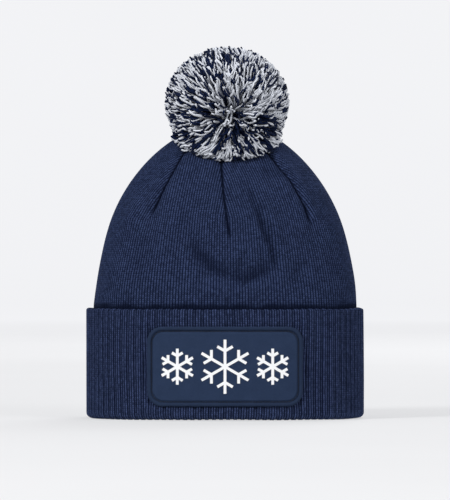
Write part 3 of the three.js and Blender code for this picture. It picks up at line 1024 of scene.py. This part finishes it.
def outline_points(inset, count):
    """Evenly spaced (x, z) points round the drawn-in outline, and the outline's length."""
    corner, wide, high = outline_core(inset)
    around = np.append(np.linspace(0, TURN, 2001)[:-1], 0)
    x = corner * np.cos(around) + np.where(np.cos(around) > 0, wide, -wide)
    z = corner * np.sin(around) + np.where(np.sin(around) > 0, high, -high)
    length = run_length(np.stack([x, z], axis=1))
    at = np.linspace(0, length[-1], count, endpoint=False)
    return np.interp(at, length, x), np.interp(at, length, z), length[-1]


def patch_slab(name, inset, back, front, round_edge, puff=0.0):
    """A piece of cloth with the patch's outline, rounded over at its edge and puffed up."""
    corner, wide, high = outline_core(inset)
    quarter = math.pi / 2
    x = (PATCH_HALF_WIDTH - inset) * np.sin(np.linspace(-quarter, quarter, 120))[:, None]
    past = np.clip(np.abs(x) - wide, 0, corner)
    half_height = high + np.sqrt(corner ** 2 - past ** 2)
    z = half_height * np.sin(np.linspace(-quarter, quarter, 60))
    d = np.maximum(depth_in_outline(x, z, inset), 0)
    rounding = np.sqrt(1 - (1 - np.clip(d / round_edge, 0, 1)) ** 2)
    lift = CUT_EDGE + (1 - CUT_EDGE) * rounding
    wave = 0.12 * MM * np.sin(x * 210 + 1.0) * np.sin(z * 260 + 0.4)
    swell = puff * ramp(d, 0, 14 * MM)
    face = on_cuff(x, z, back + (front - back) * lift + swell + wave * lift)
    rear = on_cuff(x, z, back)
    return slab_object(name, np.concatenate([rear, face[:, ::-1]], axis=1))


def make_rim():
    """The patch's turned edge, a soft roll that follows the outline."""
    x, z, _ = outline_points(RIM_WIDTH / 2, 420)
    run_x, run_z = steps_past(x, 0, True), steps_past(z, 0, True)
    size = np.hypot(run_x, run_z)
    out_x, out_z = run_z / size, -run_x / size
    chance = np.random.default_rng(8)
    along = even_shares(len(x))
    wave = sum(
        np.sin(TURN * (chance.integers(3, 40) * along + chance.uniform(0, 1)))
        for _ in range(9)
    )[:, None] / 3
    turn = np.linspace(0, TURN, 16, endpoint=False)
    across = np.sign(np.cos(turn)) * np.abs(np.cos(turn)) ** 0.8
    width = RIM_WIDTH / 2 * (1 + 0.05 * wave) * across
    rise = np.sin(turn) * np.where(np.sin(turn) > 0, 1.1, 0.5) * (1 + 0.10 * wave)
    points = on_cuff(
        x[:, None] + out_x[:, None] * width,
        z[:, None] + out_z[:, None] * width,
        0.95 * MM + rise * MM,
    )
    return grid_object("patch_rim", points, flip=True)


def make_patch_stitches():
    """Short arched threads in a row along the groove inside the rim."""
    inset = RIM_WIDTH + GROOVE / 2
    fine = 20                     # outline points for each stitch
    _, _, length = outline_points(inset, 8)
    count = round(length / PATCH_STITCH)
    x, z, _ = outline_points(inset, count * fine)
    s = np.linspace(-0.5, 0.5, 5)
    at = (np.arange(count)[:, None] + 0.5 + s * PATCH_STITCH_SHARE) * fine % (count * fine)
    index = np.arange(count * fine + 1)
    x, z = (np.interp(at, index, np.append(row, row[0])) for row in (x, z))
    arch = 0.75 * MM + 0.25 * MM * (1 - 4 * s ** 2)
    return tubes("patch_stitches", on_cuff(x, z, arch), 0.3 * MM * np.array([0.6, 1, 1, 1, 0.6]), 6)


def flake_outline(radius):
    """The corners of a plain six-armed snowflake with one pair of branches on each arm."""
    half, side = FLAKE_STROKE / 2, math.sqrt(3) / 2
    fork, branch = radius * 0.55, radius * 0.3
    edge = [
        (2 * side * half, half),
        (fork, half),
        (fork + branch / 2, half + branch * side),
        (fork + branch / 2 + 2 * side * half, branch * side),
        (fork + half * 4 / math.sqrt(3), half),
        (radius, half),
    ]
    corners = []
    for arm in range(6):
        angle = arm * math.pi / 3 + math.pi / 6
        for out, across in [(a, -b) for a, b in edge[1:]] + edge[::-1]:
            corners.append((
                out * math.cos(angle) - across * math.sin(angle),
                out * math.sin(angle) + across * math.cos(angle),
            ))
    return corners


def make_flake(side, x, radius, paint):
    """A thin film of print in the shape of the flake, which follows the panel's curve."""
    work = bmesh.new()
    corners = [work.verts.new((a + x * MM, b, 0)) for a, b in flake_outline(radius * MM)]
    work.faces.new(corners)
    work.normal_update()
    bmesh.ops.triangulate(work, faces=work.faces[:])
    for cut in np.arange(x - radius, x + radius, FLAKE_CUTS):
        everything = work.verts[:] + work.edges[:] + work.faces[:]
        bmesh.ops.bisect_plane(
            work, geom=everything, plane_co=(cut * MM, 0, 0), plane_no=(1, 0, 0), dist=1e-7,
        )
    grown = bmesh.ops.extrude_face_region(work, geom=work.faces[:], use_keep_orig=True)
    raised = [part for part in grown["geom"] if isinstance(part, bmesh.types.BMVert)]
    bmesh.ops.translate(work, verts=raised, vec=(0, 0, 1))
    bmesh.ops.recalc_face_normals(work, faces=work.faces[:])
    bmesh.ops.triangulate(work, faces=work.faces[:])
    mesh = bpy.data.meshes.new("flake_" + side)
    work.to_mesh(mesh)
    work.free()
    flat = np.zeros(len(mesh.vertices) * 3)
    mesh.vertices.foreach_get("co", flat)
    x, z, raised = flat.reshape(-1, 3).T
    placed = on_cuff(x, z, PRINT_OFFSET + PRINT_THICKNESS * raised)
    mesh.vertices.foreach_set("co", placed.astype(np.float32).ravel())
    mesh.update()
    stand_for(add_object(mesh.name, mesh), paint, "print_snowflake_" + side)


def make_patch():
    """A backing, a raised rim, a stitched groove and a puffed panel with three printed flakes."""
    cloth = cloth_paint("patch_cloth", dark=(0.010, 0.022, 0.054), light=(0.027, 0.047, 0.104))
    # Painted shade: a darker copy of the patch cloth, for the backing seen in the groove and for the
    # rim.
    edge = cloth_paint("patch_cloth_painted_shade", dark=(0.008, 0.017, 0.043), light=(0.021, 0.037, 0.082))
    thread = thread_paint("patch_thread", dark=(0.003, 0.006, 0.016), light=(0.009, 0.015, 0.036))
    backing = patch_slab("patch_base", 0.2 * MM, -0.4 * MM, 0.75 * MM, 0.8 * MM)
    panel = patch_slab("patch_face", PANEL_INSET, 0.45 * MM, 1.65 * MM, 1.3 * MM, puff=0.25 * MM)
    stand_for(backing, edge, "patch_backing")
    stand_for(panel, cloth, "patch_panel")
    stand_for(make_rim(), edge, "patch_border")
    stand_for(make_patch_stitches(), thread, "patch_stitching")
    ink = print_paint()
    for side, x, radius in FLAKES:
        make_flake(side, x, radius, ink)


# ---- seams, ties, lining and label ----

LINING_INSET = 5.6 * MM           # from the dome's outside to the lining's
LINING_THICKNESS = 1.8 * MM
LINING_SLACK = 2.0 * MM           # the lining hangs this much looser once clear of the band
SEAM_INSET = DEEPEST_CREASE + JERSEY + 0.9 * MM
SEAM_TOP = 0.214                  # the darts' allowances end here, below the gathered tip
ALLOWANCE_RADIUS = 0.8 * MM
PLY_RADIUS = 0.52                 # of its cord's; its line winds at the rest of that radius
OVERLOCK_STITCHES = 210           # round the band's seam


def twisted_cord(name, path, radius, twist=3.2 * MM, plies=3, closed=False):
    """Plies wound round a line: a plied thread, or a rolled seam allowance with its stitches."""
    path = np.asarray(path, float)
    length = run_length(path)
    spacing = 0.35 * MM if radius < 1.2 * MM else 0.6 * MM
    at = np.linspace(0, length[-1], max(4, int(length[-1] / spacing)))
    path = np.stack([np.interp(at, length, path[:, axis]) for axis in range(3)], axis=1)
    if closed:
        path = path[:-1]
    along = unit(steps_past(path, 0, closed))
    side, other = square_to(along, abs(along[0, 2]) >= 0.8)
    run = run_length(path)
    total = run[-1] + (np.linalg.norm(path[0] - path[-1]) if closed else 0)
    turns = max(1, round(total / twist))
    winding = TURN * (turns * run / total + even_shares(plies)[:, None])
    plied = path + (1 - PLY_RADIUS) * radius * swung(side, other, winding)
    return tubes(name, plied, PLY_RADIUS * radius, 6, closed)


def make_crown_seams(paint):
    """The rolled allowances behind the darts and the back seam, between the knit and the lining."""
    wide, deep, z = crown_rings(np.linspace(0, math.radians(80), 60), inset=SEAM_INSET)
    shares = np.linspace(0, 1, 1000, endpoint=False)
    rings, _ = band_points(wide, deep, z, shares)
    for node, side, dart in DARTS:
        path = np.array([
            [np.interp(at % 1, shares, ring[:, axis]) for axis in range(3)]
            for at, ring in zip(dart_shares(side, dart, rings, shares), rings)
        ])
        sewn = (path[:, 2] > dart[-1][1] * MM) & (path[:, 2] < SEAM_TOP)
        cord = twisted_cord("dart_allowance_" + node, path[sewn], ALLOWANCE_RADIUS)
        stand_for(cord, paint, "dart_seam_" + node)
    _, _, back_dart = DARTS[BACK_DART]
    below = rings[:, 0, 2] < back_dart[-1][1] * MM - 6 * MM
    path = np.concatenate([[rings[0, 0] - (0, 0, 22 * MM)], rings[below, 0]])
    cord = twisted_cord("back_allowance", path, ALLOWANCE_RADIUS)
    stand_for(cord, paint, "crown_back_seam")


def make_band_seam(paint):
    """The overlocked join of crown, lining and inner leaf: a ribbon with stitches along it."""
    low, high = box_of("crown_to_cuff_seam")
    half_width, half_depth, _ = (high - low) / 2
    reach = (LINING_INSET + LINING_THICKNESS) / MM
    inset = np.array([0.4, 0, 0.4, 3.7, reach - 0.8, reach + 0.9, reach - 0.8, 3.7]) * MM
    height = np.array([0, 0.5, 1, 1, 1, 0.5, 0, 0]) * (high[2] - low[2]) + low[2]
    shares = even_shares(OVERLOCK_STITCHES * 6)
    points, _ = band_points(half_width - inset, half_depth - inset, height, shares)
    bead = 0.5 + 0.5 * np.cos(TURN * OVERLOCK_STITCHES * shares)
    bump = np.array([0, 0, 0, 0, 0.3, 0.6, 0.3, 0])[:, None] * MM * bead
    points -= bump[..., None] * unit((points - [0, MIDDLE_Y, 0]) * [1, 1, 0])
    stand_for(grid_object("band_overlock", points), paint, "crown_to_cuff_seam")


def make_cuff_seam(paint):
    """The seam that closes the rib at the back: a rolled allowance, tucked in at both ends."""
    low, high = box_of("cuff_back_seam")
    y = (low[1] + high[1]) / 2 - 0.8 * MM
    tuck = 1.6 * MM
    path = [
        (0, y - tuck, low[2]),
        (0, y, low[2] + 2 * tuck),
        (0, y, high[2] - 2 * tuck),
        (0, y - tuck, high[2]),
    ]
    seam = twisted_cord("cuff_back_allowance", path, 1.0 * MM, twist=5 * MM, plies=2)
    stand_for(seam, paint, "cuff_back_seam")


def make_gather(paint):
    """The drawn-up thread that gathers the crown's tip."""
    ring = round_points(2.8 * MM, np.linspace(0, TURN, 90), 0)
    path = ring + (0, MIDDLE_Y, CROWN_TIP - JERSEY / 2)
    gather = twisted_cord("gather_thread", path, 0.7 * MM, twist=2.2 * MM, closed=True)
    stand_for(gather, paint, "crown_gather_thread")


def make_stem(paint):
    """The cord from the knot through the tip into the pompom."""
    low, high = box_of("tie_stem")
    path = [(0, MIDDLE_Y, low[2] + 0.6 * MM), (0, MIDDLE_Y, high[2])]
    stem = twisted_cord("tie_cord", path, 2.9 * MM, twist=9 * MM)
    stand_for(stem, paint, "tie_stem", "tie_stem")


def make_binding(paint):
    """The cord wound three times round the pompom's middle."""
    low, high = box_of("pompom_binding")
    wraps = 3
    turn = np.linspace(0, TURN * wraps, 40 * wraps)
    climb = 1.3 * MM * (turn / turn[-1] * 2 - 1)
    coil = (low + high) / 2 + round_points((high[0] - low[0]) / 2 - 0.8 * MM, turn, climb)
    binding = twisted_cord("binding_wraps", coil, 0.75 * MM, twist=3 * MM)
    stand_for(binding, paint, "pompom_binding", "pompom")


def make_knot(paint):
    """The knot inside the crown that anchors the cord, and the tails above it."""
    low, high = box_of("anchor_knot")
    centre = np.array([0, MIDDLE_Y, low[2] + 5 * MM])
    turn = np.linspace(0, TURN, 160)
    size = 2.9 * MM
    trefoil = centre + np.stack([
        size * (np.sin(turn) + 0.55 * np.sin(2 * turn)),
        size * (np.cos(turn) - 0.55 * np.cos(2 * turn)),
        1.3 * MM * np.sin(3 * turn),
    ], axis=1)
    knot = twisted_cord("knot_turns", trefoil, 1.5 * MM, twist=4 * MM, closed=True)
    stand_for(knot, paint, "anchor_knot")
    path = [
        centre + (0, 0, 1 * MM),
        centre + (0.6 * MM, 0, 4 * MM),
        (0, MIDDLE_Y, high[2] - 0.5 * MM),
    ]
    tails = twisted_cord("knot_tails", path, 1.1 * MM, twist=3 * MM)
    tails.data.materials.append(paint)
    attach(tails, "root")


def make_lining():
    """The inner layer, a finer knit than the outside."""
    wales, course_size, row_height = 220, 1.5 * MM, 4.5 * MM
    shares = even_shares(wales * 3)
    foot = box_of("inner_lining")[0][2]
    sides = []
    for inset in (LINING_INSET, LINING_INSET + LINING_THICKNESS):
        wide, deep, z = crown_rings(np.linspace(0, math.radians(86.5), 50), inset=inset)
        wide, deep, z = np.append(wide[0], wide), np.append(deep[0], deep), np.append(foot, z)
        points, _ = band_points(wide, deep, z, shares)
        loose = LINING_SLACK * ramp(z, foot + 4 * MM, foot + 30 * MM)
        sides.append(pushed_out(points, -loose[:, None]))
    outside, inside = sides
    z = inside[:, :1, 2]
    wale = np.broadcast_to(wales * shares, inside.shape[:2])
    crumple = 0.8 * MM * ripple(shares, z, seed=51, turns=9, rise=16)
    crumple *= ramp(z, foot + 8 * MM, foot + 30 * MM)
    lift = 0.3 * MM * np.abs(np.sin(math.pi * wale)) + np.maximum(crumple, -0.4 * MM)
    inside = pushed_out(inside, -lift)
    lining = grid_object("lining_knit", np.concatenate([outside, inside[::-1]]))
    course = np.arange(len(inside)) * row_height / course_size
    knit_attribute(lining, np.concatenate([wale, wale]), np.append(course, course[::-1])[:, None])
    paint = knit_paint(
        "navy_lining", dark=(0.004, 0.007, 0.020), light=(0.042, 0.064, 0.145), depth=0.3 * MM,
    )
    stand_for(lining, paint, "inner_lining")


def make_label():
    """A blank satin tape, folded double, sewn into the band at the back."""
    low, high = box_of("care_label")
    half, y = (high[0] - low[0]) / 2, (low[1] + high[1]) / 2
    ply, gap, bend = 0.28 * MM, 0.12 * MM, low[2] + 0.5 * MM
    heights = np.linspace(high[2], bend, 26)

    def folded_line(reach):
        """Down one leaf, round the fold and up the other; the first leaf is at -reach."""
        turn = np.linspace(0, math.pi, 7)[1:-1]
        fold = [(-reach * math.cos(t), bend - abs(reach) * math.sin(t)) for t in turn]
        down = [(-reach, z) for z in heights]
        return down + fold + [(reach, z) for z in heights[::-1]]

    loop = np.array(folded_line(ply + gap / 2) + folded_line(-gap / 2))
    across = np.linspace(-half, half, 25)[:, None]
    hang = (high[2] - loop[:, 1]) / (high[2] - low[2])
    curl = 1.1 * MM * hang ** 2 * np.cos(across / half * 1.6 + 0.3)
    points = np.broadcast_arrays(across, y + loop[:, 0] - curl, loop[:, 1])
    label = slab_object("label_tape", np.stack(points, axis=-1))
    paint = thread_paint("label_satin", dark=(0.70, 0.70, 0.72), light=(0.82, 0.82, 0.84),
                         roughness=0.4)
    stand_for(label, paint, "care_label")


# ---- the picture ----

make_camera()
make_world()
make_lights()
make_stage()
make_crown()
make_cuff()
make_pompom()
make_patch()
SEAM_PAINT = thread_paint("seam_thread", dark=(0.004, 0.007, 0.020), light=(0.014, 0.023, 0.060))
TIE_PAINT = thread_paint("tie_cord", dark=(0.004, 0.006, 0.016), light=(0.014, 0.021, 0.052))
make_crown_seams(SEAM_PAINT)
make_band_seam(SEAM_PAINT)
make_cuff_seam(SEAM_PAINT)
make_gather(SEAM_PAINT)
make_stem(TIE_PAINT)
make_binding(TIE_PAINT)
make_knot(TIE_PAINT)
make_lining()
make_label()

bpy.context.scene.view_settings.view_transform = "Standard"
bpy.context.view_layer.update()
